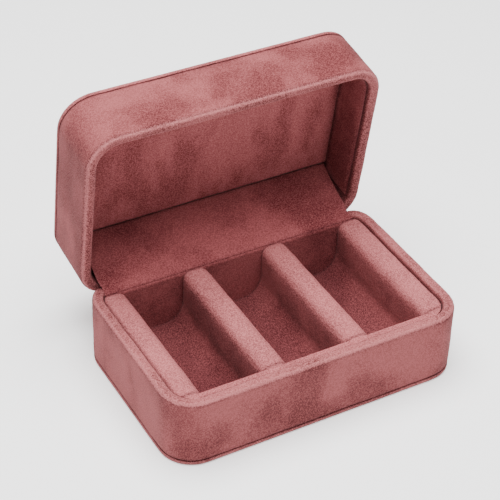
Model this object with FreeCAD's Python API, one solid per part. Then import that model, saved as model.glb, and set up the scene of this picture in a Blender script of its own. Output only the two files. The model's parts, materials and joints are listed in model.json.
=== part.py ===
"""Velvet jewelry box with a hinged lid and a three-trough insert, in millimetres.

Frame: +X along the box's length, -Y towards the front, +Z up. The origin is the
centre of the base's footprint on the surface that the box stands on. The lid is
drawn closed and is then turned open about the hinge axis, which is the rest pose.
"""
import math
import os

from FreeCAD import Vector
import Part

# ---- driving dimensions ----
LENGTH = 150.0            # outside, along X
WIDTH = 97.0              # outside, along Y, before the lid is opened
CORNER_R = 16.0           # plan corners
BASE_H = 36.0             # base with its bottom plate
LID_H = 32.0              # lid with its top plate
RIM_GAP = 0.3             # between the two rims when the lid is shut
OPEN_ANGLE = 81.0         # how far the lid leans back at rest, from shut

# ---- wall make-up, from the outside in ----
WALL = 5.6                # whole wall
PILE = 1.1                # velvet on its thin backing
FRAME_TOP = 1.4           # padding over the frame's top edge
RIM_R = 2.4               # rounded rim
FOOT_R = 0.9              # rounding where the wall meets the plate

# ---- bottom and top plates ----
PLATE_T = 2.4             # covered plate
PLATE_COVER = 0.6         # velvet under the plate
PLATE_EDGE_R = 0.8
BOARD_T = 2.5             # inner board that closes each frame

# ---- hinge ----
HINGE_Y = WIDTH / 2 - WALL
HINGE_Z = 31.0
REAR_TOP = 25.6           # top of the base's lowered rear wall
BARREL_R = 1.5
PIN_R = 0.6
PIN_PLAY = 0.05
PIN_HEAD_R = 1.0
PIN_HEAD_T = 0.5
LEAF_T = 0.8
LEAF_W = 18.0
LEAF_REACH = 17.0         # from the axis to the leaf's far edge
LEAF_CLEAR = 0.3          # between a leaf and the other leaf's knuckles
KNUCKLES = 5
KNUCKLE_GAP = 0.2
HINGE_X = 36.0            # centre of each hinge
RIVET_R = 0.9
RIVET_HEAD_R = 1.7
RIVET_HEAD_T = 0.5
RIVET_DOME = 0.4          # rounding of the head's edge
RIVET_REACH = 2.6         # shank beyond the leaf
RIVET_X = 5.0             # either side of the hinge's centre
RIVET_OUT = 10.5          # from the axis

# ---- insert ----
FIT = 0.2                 # insert to wall
CARD_T = 1.4              # tray board under the insert
INSERT_TOP = 34.6
TROUGH_W = 29.4
DIVIDER_W = 13.1
TROUGH_FLOOR = 7.5
TROUGH_R = 10.0           # where a trough's side turns into its floor
COVER_T = 1.2             # velvet over the insert
DIVIDER_R = 4.5           # padded tops
TROUGH_FRONT = -38.6
TROUGH_REAR = 38.0
REAR_BOARD_T = 3.2
REAR_BOARD_TOP = 33.4
END_BOARD_R = 1.2

# ---- lid lining ----
PANEL_FACE = 23.0         # from the lid's rim plane to its inner panel
PANEL_COVER_T = 1.0
PANEL_CARD_T = 1.5
PANEL_REAR = 30.0         # where the hinge cover starts
LINING_T = 0.8
LINING_START = 2.8        # from the rim plane
LINING_GAP = 0.1

# ---- hinge cover and spine ----
FLAP_T = 1.4
FLAP_HALF = 67.5
FLAP_LOW = (38.7, 33.6)   # y, z of its lower edge
FLAP_TOP_GAP = 0.4
FLAP_CLEAR = 0.15         # notch to the base's rim
SPINE_T = 0.5
SPINE_HALF = 66.0
SPINE_Y = 45.5
SPINE_BULGE = 3.2
SPINE_CLEAR = 0.35

# ---- magnets ----
MAGNET_R = 1.5
MAGNET_H = 6.0
MAGNET_X = (-30.0, 30.0)

LID_Z = BASE_H + RIM_GAP                  # the lid's rim plane when shut
LID_TOP = LID_Z + LID_H
LID_PLATE_Z = LID_TOP - PLATE_T
LID_BOARD_Z = LID_PLATE_Z - BOARD_T
TRAY_Z = PLATE_T + BOARD_T
TRAY_TOP = TRAY_Z + CARD_T
TROUGH_X = (-(TROUGH_W + DIVIDER_W), 0.0, TROUGH_W + DIVIDER_W)
OVER = 5.0                                # how far a cutting tool runs past
TOUCH = 1e-4                              # how near two heights count as one
SKIN = 1e-3                               # how near a point lies to a face that it is on
ALONG = 0.9                               # least share of an edge's direction that lies along an axis
SCRAP = 1.0                               # volume below which a cut-off solid is dropped
CORNER_SLACK = 1.0                        # past a corner's start, for edges that end there
AXIS_X = Vector(1, 0, 0)
AXIS_Y = Vector(0, 1, 0)
AXIS_Z = Vector(0, 0, 1)
SIDES = (("left", -1), ("right", 1))


def box(x_low, x_high, y_low, y_high, z_low, z_high):
    """Plain block between six planes."""
    corner = Vector(x_low, y_low, z_low)
    return Part.makeBox(x_high - x_low, y_high - y_low, z_high - z_low, corner)


def edges_along(edges, axis):
    """Those edges that start out along an axis, either way."""
    return [e for e in edges if abs(e.tangentAt(e.FirstParameter).dot(axis)) > ALONG]


def plan_prism(inset, z_low, z_high):
    """The box's rounded plan, drawn in by inset, between two heights."""
    half_x = LENGTH / 2 - inset
    half_y = WIDTH / 2 - inset
    block = box(-half_x, half_x, -half_y, half_y, z_low, z_high)
    return block.makeFillet(CORNER_R - inset, edges_along(block.Edges, AXIS_Z))


def ring(outer, inner, z_low, z_high):
    """A wall that follows the plan between two insets."""
    hole = plan_prism(inner, z_low - OVER, z_high + OVER)
    return plan_prism(outer, z_low, z_high).cut(hole)


def edges_at(shape, z):
    """Edges of a shape that lie wholly at one height."""
    found = []
    for edge in shape.Edges:
        bounds = edge.BoundBox
        if abs(bounds.ZMin - z) < TOUCH and abs(bounds.ZMax - z) < TOUCH:
            found.append(edge)
    return found


def outer_edges_at(shape, z):
    """Edges at one height that lie on the box's outside."""
    limit = LENGTH / 2 - CORNER_R - CORNER_SLACK
    reach = WIDTH / 2 - CORNER_R - CORNER_SLACK
    found = []
    for edge in edges_at(shape, z):
        middle = edge.valueAt((edge.FirstParameter + edge.LastParameter) / 2)
        out_x = abs(middle.x) - limit
        out_y = abs(middle.y) - reach
        if max(out_x, out_y) > 0 and not near_inner_wall(middle):
            found.append(edge)
    return found


def near_inner_wall(point):
    """Whether a point lies on the wall's inner side."""
    inner = plan_prism(WALL - SKIN, point.z - OVER, point.z + OVER)
    return inner.isInside(point, SKIN, True)


def opened(shape):
    """A lid piece drawn shut, turned to the rest pose."""
    turned = shape.copy()
    turned.rotate(Vector(0, HINGE_Y, HINGE_Z), AXIS_X, -OPEN_ANGLE)
    return turned


def open_point(y, z):
    """Where a point of the shut lid stands in the rest pose."""
    angle = math.radians(OPEN_ANGLE)
    dy = y - HINGE_Y
    dz = z - HINGE_Z
    return (HINGE_Y + dy * math.cos(angle) + dz * math.sin(angle),
            HINGE_Z - dy * math.sin(angle) + dz * math.cos(angle))


def prism_yz(points, x_low, x_high):
    """A straight-sided outline in the Y-Z plane, drawn along X."""
    corners = [Vector(x_low, y, z) for y, z in points]
    face = Part.Face(Part.makePolygon(corners + corners[:1]))
    return face.extrude(Vector(x_high - x_low, 0, 0))


# ---- base shell ----

def rear_cut(margin, drop):
    """What is taken off the base's rear wall so that the lid can swing."""
    return box(-LENGTH, LENGTH, HINGE_Y - margin, WIDTH, REAR_TOP - drop, BASE_H + OVER)


def magnet_pair(z_low):
    """Two small round magnets in the front wall's edge."""
    y = -(WIDTH - WALL) / 2
    discs = []
    for x in MAGNET_X:
        discs.append(Part.makeCylinder(MAGNET_R, MAGNET_H, Vector(x, y, z_low)))
    return Part.makeCompound(discs)


def base_magnets():
    return magnet_pair(BASE_H - FRAME_TOP - MAGNET_H)


def lid_magnets():
    return magnet_pair(LID_Z + FRAME_TOP)


def base_frame_blank():
    """The wooden ring before its rivet holes and magnet pockets."""
    blank = ring(PILE, WALL - PILE, PLATE_T, BASE_H - FRAME_TOP)
    return blank.cut(rear_cut(PILE, PILE))


def base_frame():
    return base_frame_blank().cut(base_magnets()).cut(rivet_shanks(-1))


def base_wrap():
    """The velvet band: outside, over the rim and down the inside."""
    band = ring(0, WALL, PLATE_T, BASE_H)
    band = band.makeFillet(RIM_R, edges_at(band, BASE_H))
    band = band.makeFillet(FOOT_R, outer_edges_at(band, PLATE_T))
    band = band.cut(rear_cut(0, 0))
    return band.cut(base_frame_blank()).cut(rivet_shanks(-1))


def plate_cover(z_low, face_z):
    """Velvet over a plate: the face at face_z and the plate's edge."""
    block = plan_prism(0, z_low, z_low + PLATE_T)
    return block.makeFillet(PLATE_EDGE_R, edges_at(block, face_z))


def bottom_plate_board():
    return plan_prism(PILE, PLATE_COVER, PLATE_T)


def bottom_plate_cover():
    return plate_cover(0, 0).cut(bottom_plate_board())


def base_board():
    return plan_prism(WALL, PLATE_T, TRAY_Z)


# ---- insert ----

def insert_tray_board():
    return plan_prism(WALL + FIT, TRAY_Z, TRAY_TOP)


def trough(x, grow):
    """The hollow of one trough, made larger by grow."""
    half = TROUGH_W / 2 + grow
    low = TROUGH_FLOOR - grow
    hollow = box(x - half, x + half, TROUGH_FRONT - OVER, TROUGH_REAR + OVER, low, BASE_H + OVER)
    return hollow.makeFillet(TROUGH_R + grow, edges_along(edges_at(hollow, low), AXIS_Y))


def ridges(shrink):
    """Shoulders and dividers between the troughs, drawn in by shrink."""
    half = LENGTH / 2 - WALL - FIT - shrink
    top = INSERT_TOP - shrink
    body = box(-half, half, TROUGH_FRONT, TROUGH_REAR, TRAY_TOP, top)
    for x in TROUGH_X:
        body = body.cut(trough(x, shrink))
    body = body.makeFillet(DIVIDER_R - shrink, edges_along(edges_at(body, top), AXIS_Y))
    return body.common(plan_prism(WALL + FIT + shrink, TRAY_TOP, top))


def insert_cover():
    """One velvet cover over both shoulders, both dividers and the floors."""
    return ridges(0).cut(ridges(COVER_T))


def insert_cores():
    """The four padded cores under the cover, from left to right."""
    names = ("shoulder_core_left", "divider_core_left", "divider_core_right", "shoulder_core_right")
    solids = [s for s in ridges(COVER_T).Solids if s.Volume > SCRAP]
    solids.sort(key=lambda s: s.BoundBox.Center.x)
    return dict(zip(names, solids))


def end_board(y_low, y_high, top, rounding):
    """A covered board that closes the troughs at one end."""
    block = box(-LENGTH, LENGTH, y_low, y_high, TRAY_TOP, top)
    block = block.makeFillet(rounding, edges_along(edges_at(block, top), AXIS_X))
    return block.common(plan_prism(WALL + FIT, TRAY_TOP, top))


def insert_front_wall():
    return end_board(-WIDTH / 2 + WALL + FIT, TROUGH_FRONT, INSERT_TOP, END_BOARD_R)


def insert_rear_wall():
    return end_board(TROUGH_REAR, TROUGH_REAR + REAR_BOARD_T, REAR_BOARD_TOP, END_BOARD_R / 2)


# ---- hinges ----

def knuckle_spans(owner):
    """X spans of one leaf's knuckles: owner 0 is the base's, 1 the lid's."""
    pitch = (LEAF_W + KNUCKLE_GAP) / KNUCKLES
    spans = []
    for index in range(owner, KNUCKLES, 2):
        start = -LEAF_W / 2 + index * pitch
        spans.append((start, start + pitch - KNUCKLE_GAP))
    return spans


def hinge_leaf(side, owner, up):
    """A flat leaf against the inside of the rear wall, with its knuckles."""
    x = side * HINGE_X
    near = HINGE_Z + up * (BARREL_R + LEAF_CLEAR)
    far = HINGE_Z + up * LEAF_REACH
    face = HINGE_Y - LEAF_T
    low, high = sorted((near, far))
    leaf = box(x - LEAF_W / 2, x + LEAF_W / 2, face, HINGE_Y, low, high)
    for start, end in knuckle_spans(owner):
        low, high = sorted((HINGE_Z, near))
        web = box(x + start, x + end, face, HINGE_Y, low, high)
        place = Vector(x + start, HINGE_Y, HINGE_Z)
        barrel = Part.makeCylinder(BARREL_R, end - start, place, AXIS_X)
        leaf = leaf.fuse(web).fuse(barrel)
    place = Vector(x - LEAF_W, HINGE_Y, HINGE_Z)
    bore = Part.makeCylinder(PIN_R + PIN_PLAY, 2 * LEAF_W, place, AXIS_X)
    return leaf.cut(bore).cut(rivet_shanks(up)).removeSplitter()


def hinge_pin(side):
    """A pin with a small head at each end of the barrel."""
    start = side * HINGE_X - LEAF_W / 2
    pin = Part.makeCylinder(PIN_R, LEAF_W, Vector(start, HINGE_Y, HINGE_Z), AXIS_X)
    for x in (start - PIN_HEAD_T, start + LEAF_W):
        head = Part.makeCylinder(PIN_HEAD_R, PIN_HEAD_T, Vector(x, HINGE_Y, HINGE_Z), AXIS_X)
        pin = pin.fuse(head)
    return pin.removeSplitter()


def rivet_places(up):
    """Centres of the rivets of one body's two leaves."""
    places = []
    for _, side in SIDES:
        for offset in (-RIVET_X, RIVET_X):
            places.append((side * HINGE_X + offset, HINGE_Z + up * RIVET_OUT))
    return places


def rivet_shanks(up):
    """The straight shanks, which are also the shape of their holes."""
    shanks = []
    for x, z in rivet_places(up):
        place = Vector(x, HINGE_Y - LEAF_T, z)
        shanks.append(Part.makeCylinder(RIVET_R, LEAF_T + RIVET_REACH, place, AXIS_Y))
    return Part.makeCompound(shanks)


def rivets(up):
    """Domed rivets that hold one body's leaves to its rear wall."""
    made = []
    for (x, z), shank in zip(rivet_places(up), rivet_shanks(up).Solids):
        place = Vector(x, HINGE_Y - LEAF_T, z)
        head = Part.makeCylinder(RIVET_HEAD_R, RIVET_HEAD_T, place, -AXIS_Y)
        rim = [e for e in head.Edges if abs(e.BoundBox.YMax - place.y + RIVET_HEAD_T) < TOUCH]
        head = head.makeFillet(RIVET_DOME, rim)
        made.append(head.fuse(shank).removeSplitter())
    return Part.makeCompound(made)


# ---- lid ----

def lid_frame_blank():
    """The lid's wooden ring before its rivet holes and magnet pockets."""
    return ring(PILE, WALL - PILE, LID_Z + FRAME_TOP, LID_PLATE_Z)


def lid_frame():
    return lid_frame_blank().cut(lid_magnets()).cut(rivet_shanks(1))


def lid_wrap():
    """The lid's velvet band, with the same rolled rim as the base's."""
    band = ring(0, WALL, LID_Z, LID_PLATE_Z)
    band = band.makeFillet(RIM_R, edges_at(band, LID_Z))
    band = band.makeFillet(FOOT_R, outer_edges_at(band, LID_PLATE_Z))
    return band.cut(lid_frame_blank()).cut(rivet_shanks(1))


def top_plate_board():
    return plan_prism(PILE, LID_PLATE_Z, LID_TOP - PLATE_COVER)


def top_plate_cover():
    return plate_cover(LID_PLATE_Z, LID_TOP).cut(top_plate_board())


def lid_board():
    return plan_prism(WALL, LID_BOARD_Z, LID_PLATE_Z)


def lid_layer(low, high):
    """One flat layer of the lid's inner panel, given from the rim plane."""
    plan = plan_prism(WALL + LINING_T + LINING_GAP, LID_Z + low, LID_Z + high)
    return plan.common(box(-LENGTH, LENGTH, -WIDTH, PANEL_REAR, 0, LID_TOP))


def lid_panel_cover():
    return lid_layer(PANEL_FACE, PANEL_FACE + PANEL_COVER_T)


def lid_panel_board():
    start = PANEL_FACE + PANEL_COVER_T
    return lid_layer(start, start + PANEL_CARD_T)


def lid_panel_foam():
    return lid_layer(PANEL_FACE + PANEL_COVER_T + PANEL_CARD_T, LID_BOARD_Z - LID_Z)


def lid_lining():
    """Velvet band inside the lid's walls, open behind the hinge cover."""
    band = ring(WALL, WALL + LINING_T, LID_Z + LINING_START, LID_BOARD_Z)
    return band.cut(box(-LENGTH, LENGTH, PANEL_REAR + OVER, WIDTH, 0, LID_TOP))


# ---- soft joints between the two bodies ----

def hinge_cover_flap():
    """Stiffened velvet flap from the insert's rear edge to the lid's panel."""
    low_y, low_z = FLAP_LOW
    top_y, top_z = open_point(PANEL_REAR + FLAP_TOP_GAP, LID_Z + PANEL_FACE)
    run = math.hypot(top_y - low_y, top_z - low_z)
    down_y = (top_z - low_z) / run * FLAP_T
    down_z = -(top_y - low_y) / run * FLAP_T
    # the lower edge is cut level, so that it sits on the rear board
    level = FLAP_T * run / (top_z - low_z)
    outline = [(low_y, low_z), (top_y, top_z), (top_y + down_y, top_z + down_z), (low_y + level, low_z)]
    flap = prism_yz(outline, -FLAP_HALF, FLAP_HALF)
    # its lower corners are notched round the inside of the base's rear corners
    rim = ring(0, WALL + FLAP_CLEAR, low_z - OVER, BASE_H + FLAP_CLEAR)
    return flap.cut(rim.common(box(-LENGTH, LENGTH, 0, HINGE_Y + FLAP_CLEAR, 0, LID_TOP)))


def spine_strip():
    """Velvet strip between the rear walls, folded inwards at rest."""
    low = (SPINE_Y, REAR_TOP + SPINE_CLEAR)
    high = open_point(SPINE_Y, LID_Z - SPINE_CLEAR)
    chord_y = high[0] - low[0]
    chord_z = high[1] - low[1]
    chord = math.hypot(chord_y, chord_z)
    radius = (chord * chord / 4 + SPINE_BULGE * SPINE_BULGE) / (2 * SPINE_BULGE)
    rise = SPINE_BULGE - radius
    centre_y = (low[0] + high[0]) / 2 - chord_z / chord * rise
    centre_z = (low[1] + high[1]) / 2 + chord_y / chord * rise
    start = math.degrees(math.atan2(high[1] - centre_z, high[0] - centre_y))
    sweep = 360 - 2 * math.degrees(math.asin(chord / 2 / radius))
    centre = Vector(-SPINE_HALF, centre_y, centre_z)
    outer = arc_yz(centre, radius + SPINE_T / 2, start, sweep)
    inner = arc_yz(centre, radius - SPINE_T / 2, start, sweep)
    ends = [Part.makeLine(outer.valueAt(u), inner.valueAt(v))
            for u, v in ((outer.FirstParameter, inner.FirstParameter),
                         (outer.LastParameter, inner.LastParameter))]
    wire = Part.Wire(Part.__sortEdges__([outer, inner] + ends))
    return Part.Face(wire).extrude(Vector(2 * SPINE_HALF, 0, 0))


def arc_yz(centre, radius, start, sweep):
    """An arc in the Y-Z plane, counted in degrees from +Y towards +Z."""
    points = []
    for share in (0.0, 0.5, 1.0):
        angle = math.radians(start + sweep * share)
        points.append(centre + Vector(0, radius * math.cos(angle), radius * math.sin(angle)))
    return Part.Arc(*points).toShape()


def base_pieces():
    """Every piece that stays with the base, by node name."""
    pieces = {
        "base_frame": base_frame(),
        "base_wrap": base_wrap(),
        "base_board": base_board(),
        "bottom_plate_board": bottom_plate_board(),
        "bottom_plate_cover": bottom_plate_cover(),
        "insert_tray_board": insert_tray_board(),
        "insert_front_wall": insert_front_wall(),
        "insert_rear_wall": insert_rear_wall(),
        "insert_cover": insert_cover(),
        "base_magnets": base_magnets(),
        "hinge_rivets_base": rivets(-1),
        "hinge_cover_flap": hinge_cover_flap(),
        "spine_strip": spine_strip(),
    }
    pieces.update(insert_cores())
    for word, side in SIDES:
        pieces["hinge_leaf_base_" + word] = hinge_leaf(side, 0, -1)
        pieces["hinge_pin_" + word] = hinge_pin(side)
    return pieces


def lid_pieces():
    """Every piece of the lid, drawn shut, by node name."""
    pieces = {
        "lid_frame": lid_frame(),
        "lid_wrap": lid_wrap(),
        "lid_board": lid_board(),
        "top_plate_board": top_plate_board(),
        "top_plate_cover": top_plate_cover(),
        "lid_panel_cover": lid_panel_cover(),
        "lid_panel_board": lid_panel_board(),
        "lid_panel_foam": lid_panel_foam(),
        "lid_lining": lid_lining(),
        "lid_magnets": lid_magnets(),
        "hinge_rivets_lid": rivets(1),
    }
    for word, side in SIDES:
        pieces["hinge_leaf_lid_" + word] = hinge_leaf(side, 1, 1)
    return pieces


def main():
    os.makedirs("parts", exist_ok=True)
    pieces = base_pieces()
    for name, shape in lid_pieces().items():
        pieces[name] = opened(shape)
    for name, shape in sorted(pieces.items()):
        shape.exportStep("parts/" + name + ".step")
        print(name, len(shape.Solids), round(shape.Volume), shape.isValid())


main()
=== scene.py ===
"""Looks of the velvet jewelry box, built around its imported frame.

Each sub-assembly is a class that holds its own sizes and builds its own pieces.
Lid pieces are shaped as they lie when the lid is shut, and are then turned about
the hinge axis to the rest pose.
"""
import json
import logging
import math
from dataclasses import dataclass
from enum import Enum
from typing import Callable, Sequence

import bmesh
import bpy
import numpy as np
from mathutils import Matrix, Vector


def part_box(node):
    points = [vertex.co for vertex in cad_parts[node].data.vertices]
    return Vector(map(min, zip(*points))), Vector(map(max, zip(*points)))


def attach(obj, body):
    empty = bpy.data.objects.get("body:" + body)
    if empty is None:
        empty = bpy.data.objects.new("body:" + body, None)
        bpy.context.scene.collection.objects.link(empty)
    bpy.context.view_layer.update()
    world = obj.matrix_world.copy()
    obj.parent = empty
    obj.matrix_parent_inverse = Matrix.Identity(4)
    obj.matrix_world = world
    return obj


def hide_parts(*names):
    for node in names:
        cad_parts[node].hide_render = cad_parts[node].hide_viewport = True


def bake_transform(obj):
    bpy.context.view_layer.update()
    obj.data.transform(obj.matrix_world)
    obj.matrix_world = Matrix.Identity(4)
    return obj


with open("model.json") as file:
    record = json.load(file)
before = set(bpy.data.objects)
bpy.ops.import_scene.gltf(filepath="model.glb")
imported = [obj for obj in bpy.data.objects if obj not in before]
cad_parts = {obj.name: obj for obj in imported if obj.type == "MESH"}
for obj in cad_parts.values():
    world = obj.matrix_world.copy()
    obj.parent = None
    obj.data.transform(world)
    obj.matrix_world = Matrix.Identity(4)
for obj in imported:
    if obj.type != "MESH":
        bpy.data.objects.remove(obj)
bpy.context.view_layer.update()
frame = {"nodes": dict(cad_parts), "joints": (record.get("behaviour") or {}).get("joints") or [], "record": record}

LOG = logging.getLogger("jewelry_box")
MM = 0.001
UP = Vector((0, 0, 1))
REARWARDS = Vector((0, 1, 0))
FACES_ALIKE = 0.99       # least cosine between a face's normal and the way it looks
EDGES_ALIKE = 0.999      # least cosine between an edge and the way it runs
SAME = 0.001 * MM        # how near two places count as one
WELD = 0.005 * MM        # how near two vertices are merged
TINY = 1e-9              # least divisor
Colour = tuple[float, float, float, float]


class Element(Enum):
    """What a selection picks."""

    EDGE = "EDGE"
    FACE = "FACE"


class Axis(Enum):
    """Directions that a mesh is cut across."""

    X = (1, 0, 0)
    Y = (0, 1, 0)
    Z = (0, 0, 1)


@dataclass(frozen=True)
class LidSwing:
    """The hinge axis, and the turn from shut to the rest pose.

    Attributes:
        place: a point on the axis.
        turn: radians between the shut lid and the rest pose.
    """

    place: Vector
    turn: float

    @classmethod
    def from_frame(cls) -> "LidSwing":
        """Read the axis and the range from the frame's joint."""
        joint = frame["joints"][0]
        return cls(Vector(joint["pos_m"]), math.radians(joint["range_deg"][1]))

    def to_rest(self) -> Matrix:
        """The turn that carries a shut lid piece to the rest pose."""
        there = Matrix.Translation(self.place)
        return there @ Matrix.Rotation(-self.turn, 4, "X") @ there.inverted()

    def shut_box(self, node: str) -> tuple[Vector, Vector]:
        """Lowest and highest corners of a lid node with the lid shut.

        Args:
            node: the node's name.

        Returns:
            The two corners, in metres.
        """
        back = self.to_rest().inverted()
        places = np.array([back @ v.co for v in frame["nodes"][node].data.vertices])
        return Vector(places.min(0)), Vector(places.max(0))


class Bench:
    """One mesh on the bench, shaped in edit mode from a block."""

    def __init__(self, name: str, low: Vector, high: Vector) -> None:
        """Start a block between two corners.

        Args:
            name: the piece's name.
            low: lowest corner.
            high: highest corner.
        """
        bpy.ops.object.select_all(action="DESELECT")
        bpy.ops.mesh.primitive_cube_add(size=1, location=(low + high) / 2)
        self.piece = bpy.context.active_object
        self.piece.name = name
        self.piece.scale = high - low
        bpy.ops.object.transform_apply(location=True, rotation=True, scale=True)
        bpy.ops.object.mode_set(mode="EDIT")

    def pick(self, kind: Element, test: Callable[[object], bool]) -> "Bench":
        """Select only the elements that pass a test.

        Args:
            kind: edges or faces.
            test: says whether an element is selected.

        Returns:
            The bench, so that calls can follow each other.
        """
        bpy.ops.mesh.select_mode(type=kind.value)
        bpy.ops.mesh.select_all(action="DESELECT")
        mesh = bmesh.from_edit_mesh(self.piece.data)
        for item in mesh.edges if kind is Element.EDGE else mesh.faces:
            if test(item):
                item.select_set(True)
        mesh.select_flush_mode()
        bmesh.update_edit_mesh(self.piece.data)
        return self

    def facing(self, *directions: Vector) -> "Bench":
        """Select faces that look one of the given ways."""
        return self.pick(Element.FACE, lambda face: any(
            face.normal.dot(direction) > FACES_ALIKE for direction in directions))

    def runs(self, direction: Vector, test: Callable[[Vector], bool] = lambda middle: True) -> "Bench":
        """Select edges that run along a direction and whose middle passes a test."""
        def along(edge: object) -> bool:
            start, end = (v.co for v in edge.verts)
            step = (end - start).normalized()
            return abs(step.dot(direction)) > EDGES_ALIKE and test((start + end) / 2)
        return self.pick(Element.EDGE, along)

    def bevel(self, width: float, segments: int) -> "Bench":
        """Round the selected edges."""
        bpy.ops.mesh.bevel(offset=width, segments=segments, profile=0.5, affect="EDGES")
        return self

    def extrude(self, step: Vector) -> "Bench":
        """Draw the selected faces out by a step."""
        bpy.ops.mesh.extrude_region_move(TRANSFORM_OT_translate={"value": step})
        return self

    def lift(self, steps: Sequence[tuple[float, float]]) -> "Bench":
        """Carry the selected face through a profile.

        Args:
            steps: inset and rise of each step, in metres.
        """
        for inset, rise in steps:
            if inset > 0:
                bpy.ops.mesh.inset(thickness=inset, depth=0)
                bpy.ops.transform.translate(value=UP * rise)
            else:
                self.extrude(UP * rise)
        return self

    def remove(self) -> "Bench":
        """Delete the selected faces."""
        bpy.ops.mesh.delete(type="FACE")
        return self

    def bridge(self) -> "Bench":
        """Join the selected open loops with faces."""
        bpy.ops.mesh.bridge_edge_loops()
        return self

    def cut(self, axis: Axis, places: Sequence[float]) -> "Bench":
        """Cut the whole mesh across an axis, once at each place."""
        for place in places:
            bpy.ops.mesh.select_all(action="SELECT")
            at = Vector(axis.value) * place
            bpy.ops.mesh.bisect(plane_co=at, plane_no=axis.value)
        return self

    def trim(self, axis: Axis, place: float, keep_low: bool) -> "Bench":
        """Cut the mesh off at a plane and close it there."""
        bpy.ops.mesh.select_all(action="SELECT")
        at = Vector(axis.value) * place
        bpy.ops.mesh.bisect(plane_co=at, plane_no=axis.value, use_fill=True,
                            clear_outer=keep_low, clear_inner=not keep_low)
        return self

    def done(self) -> bpy.types.Object:
        """Leave edit mode with every normal outwards, and hand over the piece."""
        close_up(WELD)
        return self.piece


def activate(piece: bpy.types.Object) -> None:
    """Make a piece the only selected object and the active one."""
    bpy.ops.object.select_all(action="DESELECT")
    piece.select_set(True)
    bpy.context.view_layer.objects.active = piece


def close_up(weld: float) -> None:
    """Merge the edited mesh's doubles, turn its normals outwards and leave edit mode."""
    bpy.ops.mesh.select_all(action="SELECT")
    bpy.ops.mesh.remove_doubles(threshold=weld)
    bpy.ops.mesh.normals_make_consistent(inside=False)
    bpy.ops.object.mode_set(mode="OBJECT")


def spaced(low: float, high: float, pitch: float) -> list[float]:
    """Even places between two ends, both ends left out."""
    count = max(1, round((high - low) / pitch))
    return [low + (high - low) * i / count for i in range(1, count)]


def between(low: float, high: float, pitch: float) -> list[float]:
    """Even places between two ends, both ends taken in."""
    return [low, *spaced(low, high, pitch), high]


def places_of(piece: bpy.types.Object) -> np.ndarray:
    """The mesh's vertex positions as an array."""
    flat = np.zeros(len(piece.data.vertices) * 3)
    piece.data.vertices.foreach_get("co", flat)
    return flat.reshape(-1, 3)


def normals_of(piece: bpy.types.Object) -> np.ndarray:
    """The mesh's vertex normals as an array."""
    flat = np.zeros(len(piece.data.vertices) * 3, np.float32)
    piece.data.vertices.foreach_get("normal", flat)
    return flat.reshape(-1, 3).astype(float)


def move_to(piece: bpy.types.Object, places: np.ndarray) -> None:
    """Give the mesh new vertex positions."""
    piece.data.vertices.foreach_set("co", places.ravel())
    piece.data.update()


def apply_modifier(piece: bpy.types.Object, kind: str, **settings: object) -> None:
    """Add one modifier to a piece and apply it.

    Args:
        piece: the mesh object.
        kind: the modifier's type.
        settings: its properties.
    """
    activate(piece)
    modifier = piece.modifiers.new(kind.title(), kind)
    for name, value in settings.items():
        setattr(modifier, name, value)
    bpy.ops.object.modifier_apply(modifier=modifier.name)


def refine(piece: bpy.types.Object, levels: int, kind: str = "CATMULL_CLARK") -> None:
    """Subdivide and shade smooth; the kind SIMPLE keeps the outline as it is."""
    apply_modifier(piece, "SUBSURF", subdivision_type=kind, levels=levels, render_levels=levels)
    piece.data.shade_smooth()


@dataclass(frozen=True)
class Softness:
    """Hand-made unevenness of a covered surface, as displacement.

    Attributes:
        swell: depth of the slow undulation, in metres.
        swell_size: its size.
        fuzz: depth of the fine unevenness of the pile.
        fuzz_size: its size.
    """

    swell: float = 0.35 * MM
    swell_size: float = 14 * MM
    fuzz: float = 0.24 * MM
    fuzz_size: float = 1.1 * MM

    def press(self, piece: bpy.types.Object) -> None:
        """Displace a piece by both textures."""
        for depth, size in ((self.swell, self.swell_size), (self.fuzz, self.fuzz_size)):
            texture = bpy.data.textures.new(piece.name + "_uneven", "CLOUDS")
            texture.noise_scale = size
            texture.noise_depth = 1
            apply_modifier(piece, "DISPLACE", texture=texture, texture_coords="LOCAL",
                           strength=depth, mid_level=0.5)


@dataclass(frozen=True)
class Filling:
    """A short cloth pass that fills a cover out over its padding.

    Attributes:
        pressure: push from inside.
        frames: steps of the pass.
        stiffness: how hard the cloth resists stretching.
        limit: the farthest a point may move, in metres.
    """

    pressure: float = 4.0
    frames: int = 14
    stiffness: float = 15.0
    limit: float = 0.8 * MM

    def fill(self, piece: bpy.types.Object, held: np.ndarray) -> None:
        """Swell a coarse mesh between the places where it is held.

        Args:
            piece: the mesh object, before it is refined.
            held: True at each vertex that is glued or sewn down.
        """
        start = places_of(piece)
        pins = piece.vertex_groups.new(name="held")
        pins.add(np.flatnonzero(held).tolist(), 1.0, "REPLACE")
        modifier = piece.modifiers.new("Cloth", "CLOTH")
        cloth = modifier.settings
        cloth.vertex_group_mass = pins.name
        cloth.use_pressure = True
        cloth.uniform_pressure_force = self.pressure
        cloth.tension_stiffness = self.stiffness
        cloth.effector_weights.gravity = 0
        scene = bpy.context.scene
        for step in range(1, self.frames + 1):
            scene.frame_set(step)
        activate(piece)
        bpy.ops.object.modifier_apply(modifier=modifier.name)
        scene.frame_set(1)
        piece.vertex_groups.clear()
        moved = places_of(piece) - start
        far = np.linalg.norm(moved, axis=1)
        kept = self.limit * np.tanh(far / self.limit) / np.maximum(far, TINY)
        LOG.info("%s filled out, largest move %.2f mm", piece.name, (far * kept).max() / MM)
        move_to(piece, start + moved * kept[:, None])


class Field(Enum):
    """What the velvet's shader reads from each vertex: painted sheen and painted shade."""

    # painted highlight, lighter where light catches rolled edges and padded tops
    BLOOM = "pile_bloom"
    # painted shade, darker in seams, creases and deep troughs
    SEAM = "seam_shade"


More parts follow.
